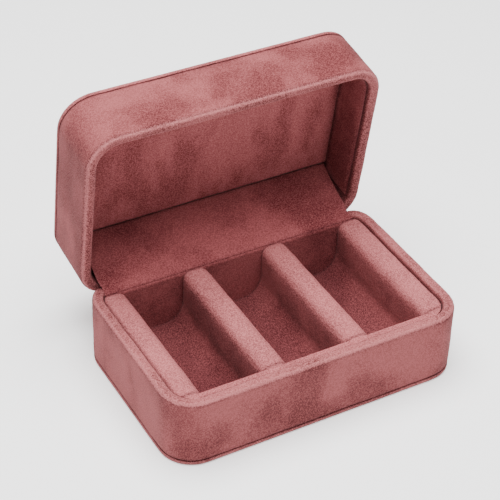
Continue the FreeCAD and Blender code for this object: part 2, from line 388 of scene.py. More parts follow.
def set_fields(piece: bpy.types.Object, painted_sheen: np.ndarray | float, seam: np.ndarray | float) -> None:
    """Store the painted sheen and the painted shade at each vertex.

    Args:
        piece: the mesh object.
        painted_sheen: painted highlight on rolled edges and padded tops, 0 to 1 at each vertex, or one value for
            all.
        seam: painted shade, the same way, 1 at the bottom of a seam or crease and on deep trough floors.
    """
    count = len(piece.data.vertices)
    # both fields are painted light: a lighter sheen and a darker shade mixed into the velvet's colour
    for kind, values in ((Field.BLOOM, painted_sheen), (Field.SEAM, seam)):
        attribute = piece.data.attributes.new(kind.value, "FLOAT", "POINT")
        full = np.broadcast_to(np.clip(values, 0, 1), (count,)).astype(np.float32)
        attribute.data.foreach_set("value", full)


def bell(distance: np.ndarray, width: float) -> np.ndarray:
    """1 at no distance, falling smoothly to 0 over about twice the width."""
    return np.exp(-((distance / width) ** 2))


def plan_depth(places: np.ndarray, low: Vector, high: Vector, corner: float) -> np.ndarray:
    """How far each place lies inside a rounded rectangle's outline."""
    middle, half = (low + high) / 2, (high - low) / 2
    across = np.abs(places[:, 0] - middle.x) - (half.x - corner)
    along = np.abs(places[:, 1] - middle.y) - (half.y - corner)
    beyond = np.hypot(np.maximum(across, 0), np.maximum(along, 0))
    return corner - beyond - np.minimum(np.maximum(across, along), 0)


# ---- shader groups ----

class Nodes:
    """Short hand for building a node tree."""

    def __init__(self, tree: bpy.types.NodeTree) -> None:
        """Work on one tree."""
        self.tree = tree

    def add(self, kind: str, **inputs: object) -> bpy.types.Node:
        """Add a node and set its inputs.

        Args:
            kind: the node's type.
            inputs: socket name, with _ for a space, to a value or to another node's socket.
        """
        node = self.tree.nodes.new(kind)
        for name, value in inputs.items():
            self.feed(node.inputs[name.replace("_", " ")], value)
        return node

    def feed(self, socket: bpy.types.NodeSocket, value: object) -> None:
        """Give a socket a value or a link."""
        if isinstance(value, bpy.types.NodeSocket):
            self.tree.links.new(value, socket)
        else:
            socket.default_value = value

    def math(self, operation: str, *values: object, clamp: bool = False) -> bpy.types.NodeSocket:
        """A Math node's result."""
        node = self.tree.nodes.new("ShaderNodeMath")
        node.operation = operation
        node.use_clamp = clamp
        for socket, value in zip(node.inputs, values):
            self.feed(socket, value)
        return node.outputs[0]

    def blend(self, first: object, second: object, share: float) -> bpy.types.NodeSocket:
        """A value made of two values, the second by its share."""
        return self.math("ADD", self.math("MULTIPLY", first, 1 - share), self.math("MULTIPLY", second, share))

    def mix(self, share: object, first: object, second: object) -> bpy.types.NodeSocket:
        """A colour between two colours."""
        node = self.tree.nodes.new("ShaderNodeMix")
        node.data_type = "RGBA"
        self.feed(node.inputs["Factor"], share)
        self.feed(node.inputs[6], first)
        self.feed(node.inputs[7], second)
        return node.outputs[2]

    def noise(self, vector: object, scale: object, detail: float, rough: float,
              distortion: float = 0.0) -> bpy.types.NodeSocket:
        """A noise texture's value."""
        return self.add("ShaderNodeTexNoise", Vector=vector, Scale=scale, Detail=detail,
                        Roughness=rough, Distortion=distortion).outputs["Fac"]

    def read(self, kind: Field) -> bpy.types.NodeSocket:
        """A value that is stored at each vertex."""
        node = self.add("ShaderNodeAttribute")
        node.attribute_name = kind.value
        return node.outputs["Fac"]

    def band(self, value: object, low: float, high: float) -> bpy.types.NodeSocket:
        """A value stretched from low..high to 0..1, smoothly and clamped."""
        node = self.add("ShaderNodeMapRange", Value=value)
        node.interpolation_type = "SMOOTHSTEP"
        node.inputs["From Min"].default_value = low
        node.inputs["From Max"].default_value = high
        return node.outputs["Result"]


def new_group(name: str, inputs: Sequence[tuple[str, str]], outputs: Sequence[tuple[str, str]]) -> tuple:
    """Make an empty shader group with named sockets.

    Args:
        name: the group's name.
        inputs: name and socket type of each input.
        outputs: name and socket type of each output.

    Returns:
        The tree, its input node and its output node.
    """
    tree = bpy.data.node_groups.new(name, "ShaderNodeTree")
    for label, kind in inputs:
        tree.interface.new_socket(name=label, in_out="INPUT", socket_type=kind)
    for label, kind in outputs:
        tree.interface.new_socket(name=label, in_out="OUTPUT", socket_type=kind)
    return tree, tree.nodes.new("NodeGroupInput"), tree.nodes.new("NodeGroupOutput")


def brushed_nap_group() -> bpy.types.NodeTree:
    """Patches where the nap has been stroked to and fro, as a mask."""
    tree, given, result = new_group(
        "brushed_nap",
        [("Vector", "NodeSocketVector"), ("Scale", "NodeSocketFloat")],
        [("Mask", "NodeSocketFloat")])
    nodes = Nodes(tree)
    stroke_scale = 3.4           # strokes against patches
    stroke_share = 0.2           # how much the strokes count
    border = (0.37, 0.63)        # a patch's soft border
    wide = nodes.noise(given.outputs["Vector"], given.outputs["Scale"], 2.0, 0.5, 0.3)
    finer = nodes.math("MULTIPLY", given.outputs["Scale"], stroke_scale)
    strokes = nodes.noise(given.outputs["Vector"], finer, 2.0, 0.5, 0.6)
    nodes.feed(result.inputs["Mask"], nodes.band(nodes.blend(wide, strokes, stroke_share), *border))
    return tree


def pile_grain_group() -> bpy.types.NodeTree:
    """Tufts of the short pile, as a speckle mask and a height."""
    tree, given, result = new_group(
        "pile_grain",
        [("Vector", "NodeSocketVector"), ("Scale", "NodeSocketFloat")],
        [("Speckle", "NodeSocketFloat"), ("Height", "NodeSocketFloat")])
    nodes = Nodes(tree)
    hair_scale = 2.6             # hairs against tufts
    hair_share = 0.4             # how much the hairs count
    border = (0.46, 0.55)        # a tuft's soft border
    tufts = nodes.noise(given.outputs["Vector"], given.outputs["Scale"], 3.0, 0.7)
    fine = nodes.math("MULTIPLY", given.outputs["Scale"], hair_scale)
    hairs = nodes.noise(given.outputs["Vector"], fine, 1.0, 0.6)
    both = nodes.blend(tufts, hairs, hair_share)
    nodes.feed(result.inputs["Speckle"], nodes.band(both, *border))
    nodes.feed(result.inputs["Height"], both)
    return tree


class Groups:
    """The shader groups that several finishes share, each built once."""

    def __init__(self) -> None:
        """Build every shared group."""
        self.nap = brushed_nap_group()
        self.grain = pile_grain_group()


@dataclass(frozen=True)
class VelvetFinish:
    """Short-pile velvet.

    Attributes:
        name: the material's name.
        deep: colour where the pile is stroked away from the eye.
        body: the cloth's middle colour.
        painted_sheen: painted highlight colour, lighter where light catches rolled edges and padded tops.
        shade: painted shade colour at the bottom of a seam or crease and on deep trough floors.
        nap_scale: size of the stroked patches, as texture scale.
        grain_scale: size of the tufts, as texture scale.
        nap_share: how strongly the patches show.
        grain_share: how strongly the tufts show.
        streak: how much the patches are drawn out along Z.
        painted_sheen_break: how far the tufts break the painted highlight's border.
        painted_sheen_border: the painted highlight's soft border.
        painted_sheen_low: share of the painted highlight's colour between the tufts.
        painted_sheen_grain: share that the tufts add to the painted highlight.
        painted_shade_break: how far the tufts break the painted shade.
        roughness: of the pile.
        specular: of the pile.
        sheen: weight of the light that grazes the pile.
        sheen_roughness: spread of that light.
        sheen_tint: its colour.
        bump: strength of the tufts' relief.
        bump_distance: its depth, in metres.
    """

    name: str
    deep: Colour
    body: Colour
    # painted highlight colour
    painted_sheen: Colour
    # painted shade colour
    shade: Colour = (0.045, 0.008, 0.010, 1)
    nap_scale: float = 30.0
    grain_scale: float = 1600.0
    nap_share: float = 0.58
    grain_share: float = 0.55
    streak: float = 1.0
    painted_sheen_break: float = 0.35
    painted_sheen_border: tuple[float, float] = (0.25, 0.95)
    painted_sheen_low: float = 0.4
    painted_sheen_grain: float = 0.5
    painted_shade_break: float = 0.45
    roughness: float = 0.95
    specular: float = 0.15
    sheen: float = 0.09
    sheen_roughness: float = 0.36
    sheen_tint: Colour = (1.0, 0.55, 0.55, 1.0)
    bump: float = 0.9
    bump_distance: float = 0.3 * MM

    def build(self, groups: Groups) -> bpy.types.Material:
        """Make the material.

        Args:
            groups: the shared shader groups.

        Returns:
            The finished material.
        """
        material = bpy.data.materials.new(self.name)
        material.use_nodes = True
        material.diffuse_color = self.body
        nodes = Nodes(material.node_tree)
        shader = material.node_tree.nodes["Principled BSDF"]
        place = nodes.add("ShaderNodeTexCoord").outputs["Object"]
        nap = nodes.add("ShaderNodeGroup")
        nap.node_tree = groups.nap
        drawn = nodes.add("ShaderNodeMapping", Vector=place)
        drawn.inputs["Scale"].default_value = (1, 1, 1 / self.streak)
        nodes.feed(nap.inputs["Vector"], drawn.outputs["Vector"])
        nap.inputs["Scale"].default_value = self.nap_scale
        grain = nodes.add("ShaderNodeGroup")
        grain.node_tree = groups.grain
        nodes.feed(grain.inputs["Vector"], place)
        grain.inputs["Scale"].default_value = self.grain_scale
        patches = nodes.math("MULTIPLY", nap.outputs["Mask"], self.nap_share)
        tufts = grain.outputs["Speckle"]
        speckle = nodes.math("MULTIPLY", tufts, self.grain_share)
        share = nodes.math("ADD", patches, speckle, clamp=True)
        colour = nodes.mix(share, self.deep, self.body)
        # painted highlight: the colour is lightened toward the sheen colour where the stored sheen mask is high
        broken = nodes.math("MULTIPLY_ADD", tufts, self.painted_sheen_break, nodes.read(Field.BLOOM))
        grained = nodes.math("MULTIPLY_ADD", tufts, self.painted_sheen_grain, self.painted_sheen_low)
        painted_sheen_amount = nodes.math("MULTIPLY", nodes.band(broken, *self.painted_sheen_border), grained)
        colour = nodes.mix(painted_sheen_amount, colour, self.painted_sheen)
        # painted shade: the colour is darkened toward the shade colour where the stored shade mask is high
        ragged = nodes.math("MULTIPLY_ADD", tufts, -self.painted_shade_break, 1.0)
        colour = nodes.mix(nodes.math("MULTIPLY", nodes.read(Field.SEAM), ragged), colour, self.shade)
        nodes.feed(shader.inputs["Base Color"], colour)
        shader.inputs["Roughness"].default_value = self.roughness
        shader.inputs["Specular IOR Level"].default_value = self.specular
        shader.inputs["Sheen Weight"].default_value = self.sheen
        shader.inputs["Sheen Roughness"].default_value = self.sheen_roughness
        shader.inputs["Sheen Tint"].default_value = self.sheen_tint
        bump = nodes.add("ShaderNodeBump", Height=grain.outputs["Height"])
        bump.inputs["Strength"].default_value = self.bump
        bump.inputs["Distance"].default_value = self.bump_distance
        nodes.feed(shader.inputs["Normal"], bump.outputs["Normal"])
        return material


@dataclass(frozen=True)
class PlainFinish:
    """A hidden or small part's finish: wood, board, foam or metal.

    Attributes:
        name: the material's name.
        dark: darker colour of its pattern.
        light: lighter colour of its pattern.
        scale: the pattern's scale.
        stretch: how much the pattern is drawn out along X.
        metallic: 1 for metal.
        rough_low: least roughness.
        rough_high: greatest roughness.
        bump: strength of the pattern's relief.
        bump_distance: its depth, in metres.
        border: the soft border between both colours.
    """

    name: str
    dark: Colour
    light: Colour
    scale: float
    stretch: float = 1.0
    metallic: float = 0.0
    rough_low: float = 0.6
    rough_high: float = 0.9
    bump: float = 0.2
    bump_distance: float = 0.1 * MM
    border: tuple[float, float] = (0.35, 0.65)

    def build(self) -> bpy.types.Material:
        """Make the material."""
        material = bpy.data.materials.new(self.name)
        material.use_nodes = True
        material.diffuse_color = self.light
        nodes = Nodes(material.node_tree)
        shader = material.node_tree.nodes["Principled BSDF"]
        place = nodes.add("ShaderNodeTexCoord").outputs["Object"]
        drawn = nodes.add("ShaderNodeMapping", Vector=place)
        drawn.inputs["Scale"].default_value = (1 / self.stretch, 1, 1)
        grain = nodes.noise(drawn.outputs["Vector"], self.scale, 6.0, 0.6)
        mask = nodes.band(grain, *self.border)
        nodes.feed(shader.inputs["Base Color"], nodes.mix(mask, self.dark, self.light))
        rough = nodes.add("ShaderNodeMapRange", Value=grain)
        rough.inputs["To Min"].default_value = self.rough_low
        rough.inputs["To Max"].default_value = self.rough_high
        nodes.feed(shader.inputs["Roughness"], rough.outputs["Result"])
        shader.inputs["Metallic"].default_value = self.metallic
        bump = nodes.add("ShaderNodeBump", Height=grain)
        bump.inputs["Strength"].default_value = self.bump
        bump.inputs["Distance"].default_value = self.bump_distance
        nodes.feed(shader.inputs["Normal"], bump.outputs["Normal"])
        return material


OUTSIDE = VelvetFinish("velvet_outside", (0.085, 0.016, 0.017, 1), (0.305, 0.086, 0.088, 1),
                       (0.45, 0.152, 0.154, 1), nap_share=0.64, streak=1.5)
INSIDE = VelvetFinish("velvet_inside", (0.095, 0.016, 0.019, 1), (0.34, 0.090, 0.094, 1),
                      (0.46, 0.150, 0.152, 1), nap_share=0.45)
# a lighter copy of the inside velvet for the lid's panel; its lighter colours are painted light
LIT_PANEL = VelvetFinish("velvet_panel_lit", (0.145, 0.029, 0.032, 1), (0.48, 0.142, 0.146, 1),
                     (0.50, 0.18, 0.185, 1), nap_share=0.36, nap_scale=70.0, streak=2.5)
WOOD = PlainFinish("frame_wood", (0.30, 0.18, 0.09, 1), (0.48, 0.33, 0.19, 1), 900, 12)
BOARD = PlainFinish("greyboard", (0.22, 0.21, 0.19, 1), (0.34, 0.32, 0.29, 1), 1400)
FOAM = PlainFinish("foam", (0.60, 0.58, 0.52, 1), (0.78, 0.76, 0.70, 1), 1800, bump=0.8)
STEEL = PlainFinish("hinge_steel", (0.36, 0.355, 0.35, 1), (0.55, 0.545, 0.54, 1), 2600, 18,
                    metallic=1.0, rough_low=0.28, rough_high=0.42)
NICKEL = PlainFinish("magnet_nickel", (0.60, 0.58, 0.55, 1), (0.72, 0.70, 0.67, 1), 1200,
                     metallic=1.0, rough_low=0.12, rough_high=0.2)


class Wardrobe:
    """Every finish of the box, made once, and how pieces are dressed in them."""

    def __init__(self) -> None:
        """Build the materials by slot name."""
        groups = Groups()
        self.materials = {f.name: f.build(groups) for f in (OUTSIDE, INSIDE, LIT_PANEL)}
        for plain in (WOOD, BOARD, FOAM, STEEL, NICKEL):
            self.materials[plain.name] = plain.build()

    def dress(self, piece: bpy.types.Object, slot: str, finish: str | None = None) -> None:
        """Put one finish on a piece: the slot's own, or the one named.

        Args:
            piece: the mesh object.
            slot: the record's slot.
            finish: the material's name, where it isn't the slot's own.
        """
        piece.data.materials.clear()
        piece.data.materials.append(self.materials[finish or slot])

    def dress_frame(self) -> None:
        """Dress each node of the frame in its slot's finish."""
        for part in frame["record"]["subparts"]:
            node = frame["nodes"][part["node"]]
            material = self.materials[part["material_slot"]]
            node.data.materials.clear()
            node.data.materials.append(material)


def seat(piece: bpy.types.Object, body: str, *nodes: str) -> None:
    """Make a piece ride on a body and stand for its nodes."""
    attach(piece, body)
    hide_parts(*nodes)
    LOG.info("%s rides on %s, %d vertices", piece.name, body, len(piece.data.vertices))


# ---- wall bands ----

@dataclass(frozen=True)
class BandShape:
    """Sizes of a covered wall that runs round the box.

    Attributes:
        corner: plan radius of the outside corners.
        wall: thickness of the whole wall.
        rim: radius of the rolled rim.
        foot: rounding of the edge at the plate.
        pitch: spacing of the mesh before it is refined.
        corner_segments: steps round each corner.
    """

    corner: float = 16.0 * MM
    wall: float = 5.6 * MM
    rim: float = 2.4 * MM
    foot: float = 0.9 * MM
    pitch: float = 3.2 * MM
    corner_segments: int = 8

    def rim_profile(self) -> list[tuple[float, float]]:
        """Inset and height below the rim's top, from outside to inside.

        The crease near the outer edge is where the band's pile parts over the
        frame's corner, and the second one is where the turned-in edge begins.
        """
        rim, wall = self.rim, self.wall
        outer = [(0.03 * rim, 0.72 * rim), (0.12 * rim, 0.49 * rim), (0.25 * rim, 0.43 * rim),
                 (0.36 * rim, 0.22 * rim), (0.60 * rim, 0.08 * rim), (0.9 * rim, 0.0)]
        inner = [(wall - 0.88 * rim, 0.02 * rim), (wall - 0.58 * rim, 0.12 * rim),
                 (wall - 0.28 * rim, 0.34 * rim), (wall - 0.09 * rim, 0.66 * rim), (wall, rim)]
        return outer + inner

    def build(self, name: str, low: Vector, high: Vector) -> bpy.types.Object:
        """Shape the band with its rim upwards.

        Args:
            name: the piece's name.
            low: lowest corner of the wall's box.
            high: highest corner.

        Returns:
            The coarse band, ready to be refined.
        """
        start = Vector((low.x, low.y, low.z + self.foot))
        end = Vector((high.x, high.y, high.z - self.rim))
        bench = Bench(name, start, end)
        bench.runs(UP).bevel(self.corner, self.corner_segments)
        depth = end.z - start.z - self.rim
        bench.facing(UP).lift(self.rim_steps()).extrude(-UP * depth / 2).remove()
        bench.facing(-UP).lift([(0.3 * self.foot, -0.7 * self.foot), (0.7 * self.foot, -0.3 * self.foot),
                                (self.wall - self.foot, 0)])
        bench.extrude(UP * depth / 3).remove()
        bench.pick(Element.EDGE, lambda edge: edge.is_boundary).bridge()
        bench.cut(Axis.X, spaced(low.x + self.corner, high.x - self.corner, self.pitch))
        bench.cut(Axis.Y, spaced(low.y + self.corner, high.y - self.corner, self.pitch))
        bench.cut(Axis.Z, spaced(start.z, end.z, self.pitch))
        return bench.done()

    def rim_steps(self) -> list[tuple[float, float]]:
        """The rim's profile as steps from point to point."""
        steps = []
        last = (0.0, self.rim)
        for inset, drop in self.rim_profile():
            steps.append((inset - last[0], last[1] - drop))
            last = (inset, drop)
        return steps

    def mark(self, wrap: bpy.types.Object, low: Vector, high: Vector, rim_z: float) -> None:
        """Store the painted highlight on the rim and the painted shade in the band's creases and seams.

        Args:
            wrap: the finished band.
            low: lowest corner of its box.
            high: highest corner.
            rim_z: height of the rim's top; the foot is at the other end.
        """
        places = places_of(wrap)
        depth = plan_depth(places, low, high, self.corner)
        below = np.abs(rim_z - places[:, 2])
        above_foot = (high.z - low.z) - below
        # painted highlight: lighter at the rim's outer fold, its face and the turned-in edge
        fold = bell(np.hypot(depth - 0.32 * self.rim, below - 0.3 * self.rim), 0.35 * self.rim)
        face = bell(below, 0.6 * self.rim)
        turn_in = bell(np.hypot(self.wall - 0.35 * self.rim - depth, below - 0.25 * self.rim),
                       0.35 * self.rim)
        painted_sheen = 0.75 * fold + 0.35 * face + 0.3 * turn_in
        # painted shade: darker in the rim's crease, down the inner side and at the foot's seam
        crease = bell(depth - 0.12 * self.rim, 0.14 * self.rim)
        crease *= bell(below - 0.6 * self.rim, 0.35 * self.rim)
        inner = bell(self.wall - depth, 0.2 * self.wall)
        inner *= np.clip((below - 0.3 * self.rim) / self.rim, 0, 1)
        foot = bell(above_foot, 1.0 * self.foot)
        set_fields(wrap, painted_sheen, 0.5 * crease + 0.9 * inner + 0.85 * foot)


@dataclass(frozen=True)
class PlateShape:
    """A thin covered plate that closes a band's outer end.

    Attributes:
        corner: plan radius.
        edge: rounding of the edge that is seen.
        seam_edge: rounding of the edge against the band.
        pitch: spacing of the mesh before it is refined.
        corner_segments: steps round each corner.
        edge_segments: steps round each rounded edge.
        softness: the cover's unevenness.
    """

    corner: float = 16.0 * MM
    edge: float = 0.95 * MM
    seam_edge: float = 0.4 * MM
    pitch: float = 4.5 * MM
    corner_segments: int = 8
    edge_segments: int = 3
    softness: Softness = Softness(swell=0.06 * MM, fuzz=0.1 * MM)

    def build(self, name: str, low: Vector, high: Vector, seam_z: float) -> bpy.types.Object:
        """Shape the plate between two corners.

        Args:
            name: the piece's name.
            low: lowest corner.
            high: highest corner.
            seam_z: height of the side that faces the band.

        Returns:
            The finished plate.
        """
        bench = Bench(name, low, high)
        bench.runs(UP).bevel(self.corner, self.corner_segments)
        free_z = low.z + high.z - seam_z
        for level, width in ((seam_z, self.seam_edge), (free_z, self.edge)):
            bench.pick(Element.EDGE, lambda edge: all(abs(v.co.z - level) < SAME for v in edge.verts))
            bench.bevel(width, self.edge_segments)
        bench.cut(Axis.X, between(low.x + self.corner, high.x - self.corner, self.pitch))
        bench.cut(Axis.Y, between(low.y + self.corner, high.y - self.corner, self.pitch))
        plate = bench.done()
        refine(plate, 2)
        self.softness.press(plate)
        self.mark(plate, low, high, seam_z)
        return plate

    def mark(self, plate: bpy.types.Object, low: Vector, high: Vector, seam_z: float) -> None:
        """Store a painted highlight on the edge that is seen and painted shade on the side that faces the band."""
        places = places_of(plate)
        depth = plan_depth(places, low, high, self.corner)
        away = np.abs(places[:, 2] - seam_z)
        # painted highlight along the seen edge, painted shade in the seam against the band
        edge = bell(depth, self.edge) * bell(away - (high.z - low.z) * 0.6, 0.9 * MM)
        seam = bell(away, 0.7 * MM) * np.clip(depth / (0.5 * self.edge), 0, 1)
        set_fields(plate, 0.15 + 0.35 * edge, 0.85 * seam)


@dataclass
class BaseShell:
    """The base's velvet band and its covered bottom plate.

    Attributes:
        band: the band's sizes.
        plate: the plate's sizes.
        softness: the band's unevenness.
        rear_top: height of the lowered rear wall.
        swing_radius: how far the rear corners stay from the hinge axis.
    """

    band: BandShape = BandShape()
    plate: PlateShape = PlateShape()
    softness: Softness = Softness()
    rear_top: float = 25.6 * MM
    swing_radius: float = 4.7 * MM

    def build(self, swing: LidSwing, wardrobe: Wardrobe) -> None:
        """Make both pieces and seat them on the base."""
        low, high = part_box("base_wrap")
        wrap = self.band.build("base_velvet_band", low, high)
        self.lower_rear(wrap, swing, low, high)
        refine(wrap, 2)
        self.softness.press(wrap)
        self.band.mark(wrap, low, high, high.z)
        wardrobe.dress(wrap, "velvet_outside")
        seat(wrap, "base", "base_wrap")
        low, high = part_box("bottom_plate_cover")
        plate = self.plate.build("bottom_plate_velvet", low, high, high.z)
        wardrobe.dress(plate, "velvet_outside")
        seat(plate, "base", "bottom_plate_cover")

    def lower_rear(self, wrap: bpy.types.Object, swing: LidSwing, low: Vector, high: Vector) -> None:
        """Draw the rear wall's rim down, so that it clears the lid's swing.

        Round the two rear corners the rim follows a circle about the hinge axis.

        Args:
            wrap: the coarse band.
            swing: the lid's hinge.
            low: lowest corner of the band's box.
            high: highest corner.
        """
        places = places_of(wrap)
        corner = self.band.corner
        across = np.abs(places[:, 0]) - (high.x - corner)
        back = places[:, 1] - (high.y - corner)
        angle = np.arctan2(back, np.maximum(across, 0))
        outer_y = np.where(back > 0, high.y - corner + corner * np.sin(angle), places[:, 1])
        past = outer_y - swing.place.y
        reach = np.sqrt(np.maximum(self.swing_radius ** 2 - np.maximum(past, 0) ** 2, 0))
        top = np.where(past < self.swing_radius, swing.place.z + reach, self.rear_top)
        top = np.where(past <= 0, high.z, np.minimum(top, high.z))
        share = np.clip((places[:, 2] - low.z) / (high.z - 2 * self.band.rim - low.z), 0, 1)
        places[:, 2] -= (high.z - top) * share
        move_to(wrap, places)


@dataclass
class InsertTray:
    """The padded insert: troughs, dividers, shoulders and its two end boards.

    Attributes:
        trough_width: of each trough.
        divider_width: of each divider.
        trough_radius: where a trough's side turns into its floor.
        top_radius: of the dividers' tops.
        floor: height of the trough floors.
        side_drop: how far the cover runs down the insert's sides.
        plan_corner: plan radius of the base's inside.
        pitch: spacing of the mesh before it is refined.
        seam: gap at each end of the cover.
        tuck: how far the cover turns down at each end.
        glued_rise: height above the floors up to which the cover is glued.
        rim_gap: between the padded tops and the base's rim.
        lip_drop: how far the front board lies below the padded tops.
        painted_floor_rise: height above the floors over which painted shade darkens the troughs.
        painted_floor_shade: how much painted shade lies on the floors.
        board_edge: rounding of the end boards' tops.
        softness: the cover's unevenness.
        filling: the cloth pass over the padding.
    """

    trough_width: float = 29.4 * MM
    divider_width: float = 13.1 * MM
    trough_radius: float = 10.0 * MM
    top_radius: float = 4.6 * MM
    floor: float = 7.5 * MM
    side_drop: float = 7.0 * MM
    plan_corner: float = 10.2 * MM
    pitch: float = 2.6 * MM
    seam: float = 0.05 * MM
    tuck: float = 0.6 * MM
    glued_rise: float = 1.0 * MM
    rim_gap: float = 0.3 * MM
    lip_drop: float = 0.9 * MM
    painted_floor_rise: float = 9.0 * MM
    painted_floor_shade: float = 0.88
    board_edge: float = 1.0 * MM
    softness: Softness = Softness(swell=0.45 * MM, swell_size=11 * MM)
    filling: Filling = Filling()

    def trough_centres(self) -> list[float]:
        """X of each trough's middle."""
        step = self.trough_width + self.divider_width
        return [-step, 0.0, step]

    def in_trough(self, x: float) -> bool:
        """Whether a place along X lies over a trough."""
        return any(abs(x - c) < self.trough_width / 2 for c in self.trough_centres())

    def build(self, wardrobe: Wardrobe) -> None:
        """Make the cover and the end boards and seat them on the base."""
        cover = self.cover()
        wardrobe.dress(cover, "velvet_inside")
        seat(cover, "base", "insert_cover")
        for node in ("insert_front_wall", "insert_rear_wall"):
            board = self.end_board(node)
            wardrobe.dress(board, "velvet_inside")
            seat(board, "base", node)

    def cover(self) -> bpy.types.Object:
        """One cloth over shoulders, dividers and trough floors."""
        low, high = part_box("insert_cover")
        start = Vector((low.x, low.y + self.seam, self.floor))
        end = Vector((high.x, high.y - self.seam, high.z))
        bench = Bench("insert_velvet_cover", start, end)
        bench.pick(Element.FACE, lambda face: face.normal.z < FACES_ALIKE).remove()
        edges = [c + s * self.trough_width / 2 for c in self.trough_centres() for s in (-1, 1)]
        bench.cut(Axis.X, sorted(edges))
        bench.pick(Element.FACE, lambda face: self.in_trough(face.calc_center_median().x))
        bench.extrude(-UP * (high.z - self.floor))
        bench.facing(REARWARDS, -REARWARDS).remove()
        bench.runs(REARWARDS, lambda middle: abs(abs(middle.x) - high.x) < SAME)
        bench.extrude(-UP * self.side_drop)
        bench.runs(REARWARDS, lambda middle: middle.z < self.floor + SAME).bevel(self.trough_radius, 8)
        bench.runs(REARWARDS, lambda middle: middle.z > high.z - SAME
                   and abs(abs(middle.x) - high.x) > SAME).bevel(self.top_radius, 6)
        bench.runs(REARWARDS, lambda middle: middle.z > high.z - SAME
                   and abs(abs(middle.x) - high.x) < SAME).bevel(self.top_radius / 2, 4)
        turn = 0.8 * MM
        bench.cut(Axis.Y, spaced(start.y, end.y, self.pitch) + [start.y + turn, end.y - turn])
        bench.cut(Axis.Z, spaced(self.floor + self.trough_radius, high.z - self.top_radius, self.pitch))
        cover = bench.done()
        places = places_of(cover)
        glued = (places[:, 2] < self.floor + self.glued_rise) | (np.abs(places[:, 0]) > end.x - 0.1 * MM)
        ends = self.from_ends(places, start, end) < turn / 2
        self.filling.fill(cover, glued | ends)
        self.round_ends(cover, start, end)
        self.reach_rim(cover, start, end)
        self.follow_plan(cover, end)
        refine(cover, 2)
        self.softness.press(cover)
        places = places_of(cover)
        # painted highlight on the padded tops; painted shade at the tucked ends, along the sides and down into the
        # trough floors
        painted_top_sheen = np.clip((places[:, 2] - (end.z - 2.2 * self.top_radius)) / (2 * self.top_radius), 0, 1)
        near = self.from_ends(places, start, end)
        side = bell(end.x - np.abs(places[:, 0]), 1.0 * MM)
        deep = self.painted_floor_shade * np.clip(1 - (places[:, 2] - self.floor) / self.painted_floor_rise, 0, 1)
        set_fields(cover, 0.65 * painted_top_sheen ** 1.5, 0.85 * bell(near, 0.8 * MM) + 0.6 * side + deep)
        return cover

    @staticmethod
    def from_ends(places: np.ndarray, start: Vector, end: Vector) -> np.ndarray:
        """How far each place lies from the nearer end of the cover."""
        return np.minimum(places[:, 1] - start.y, end.y - places[:, 1])

    def round_ends(self, cover: bpy.types.Object, start: Vector, end: Vector) -> None:
        """Turn the cover down and away at its two ends, where it is tucked in."""
        places = places_of(cover)
        normals = normals_of(cover)
        near = self.from_ends(places, start, end)
        tuck = self.tuck * bell(near, 0.9 * MM)
        places -= normals * tuck[:, None]
        move_to(cover, places)

    def reach_rim(self, cover: bpy.types.Object, start: Vector, end: Vector) -> None:
        """Carry the padded tops forward over the front board, up to the base's rim."""
        places = places_of(cover)
        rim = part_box("insert_front_wall")[0].y + self.rim_gap
        top = np.clip((places[:, 2] - (end.z - 1.7 * self.top_radius)) / (0.6 * self.top_radius), 0, 1)
        front = np.clip(1 - (places[:, 1] - start.y) / (2.4 * (start.y - rim)), 0, 1)
        places[:, 1] -= (start.y - rim) * top * front
        move_to(cover, places)

    def follow_plan(self, cover: bpy.types.Object, end: Vector) -> None:
        """Draw the shoulders in round the base's inner front and rear corners."""
        places = places_of(cover)
        centre_x = end.x - self.plan_corner
        centre_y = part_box("insert_tray_board")[1].y - self.plan_corner
        past = np.clip(np.abs(places[:, 1]) - centre_y, 0, self.plan_corner)
        reach = centre_x + np.sqrt(self.plan_corner ** 2 - past ** 2)
        over = np.abs(places[:, 0]) > reach
        places[:, 0] = np.where(over, np.sign(places[:, 0]) * reach, places[:, 0])
        move_to(cover, places)

    def end_board(self, node: str) -> bpy.types.Object:
        """A covered board whose ends follow the base's rounded corners."""
        low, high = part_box(node)
        if low.y < 0:
            high.z -= self.lip_drop
        plan_low, plan_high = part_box("insert_tray_board")
        bench = Bench(node + "_velvet", Vector((plan_low.x, plan_low.y, low.z)),
                      Vector((plan_high.x, plan_high.y, high.z)))
        bench.runs(UP).bevel(self.plan_corner, 8)
        bench.trim(Axis.Y, low.y, False).trim(Axis.Y, high.y, True)
        bench.pick(Element.EDGE, lambda edge: min(v.co.z for v in edge.verts) > high.z - SAME)
        bench.bevel(self.board_edge, 3)
        bench.cut(Axis.X, spaced(plan_low.x + self.plan_corner, plan_high.x - self.plan_corner, self.pitch))
        bench.cut(Axis.Z, spaced(low.z, high.z - 1.2 * self.board_edge, self.pitch))
        board = bench.done()
        refine(board, 2, "SIMPLE")
        Softness(swell=0.15 * MM).press(board)
        places = places_of(board)
        # painted highlight along the front board's top and painted shade at its front seam; painted shade along
        # the rear board's top
        top = bell(high.z - places[:, 2], 1.6 * MM)
        if low.y < 0:
            set_fields(board, 0.5 * top, 0.85 * bell(places[:, 1] - low.y, 0.7 * MM))
        else:
            set_fields(board, 0.0, 0.3 * top)
        return board


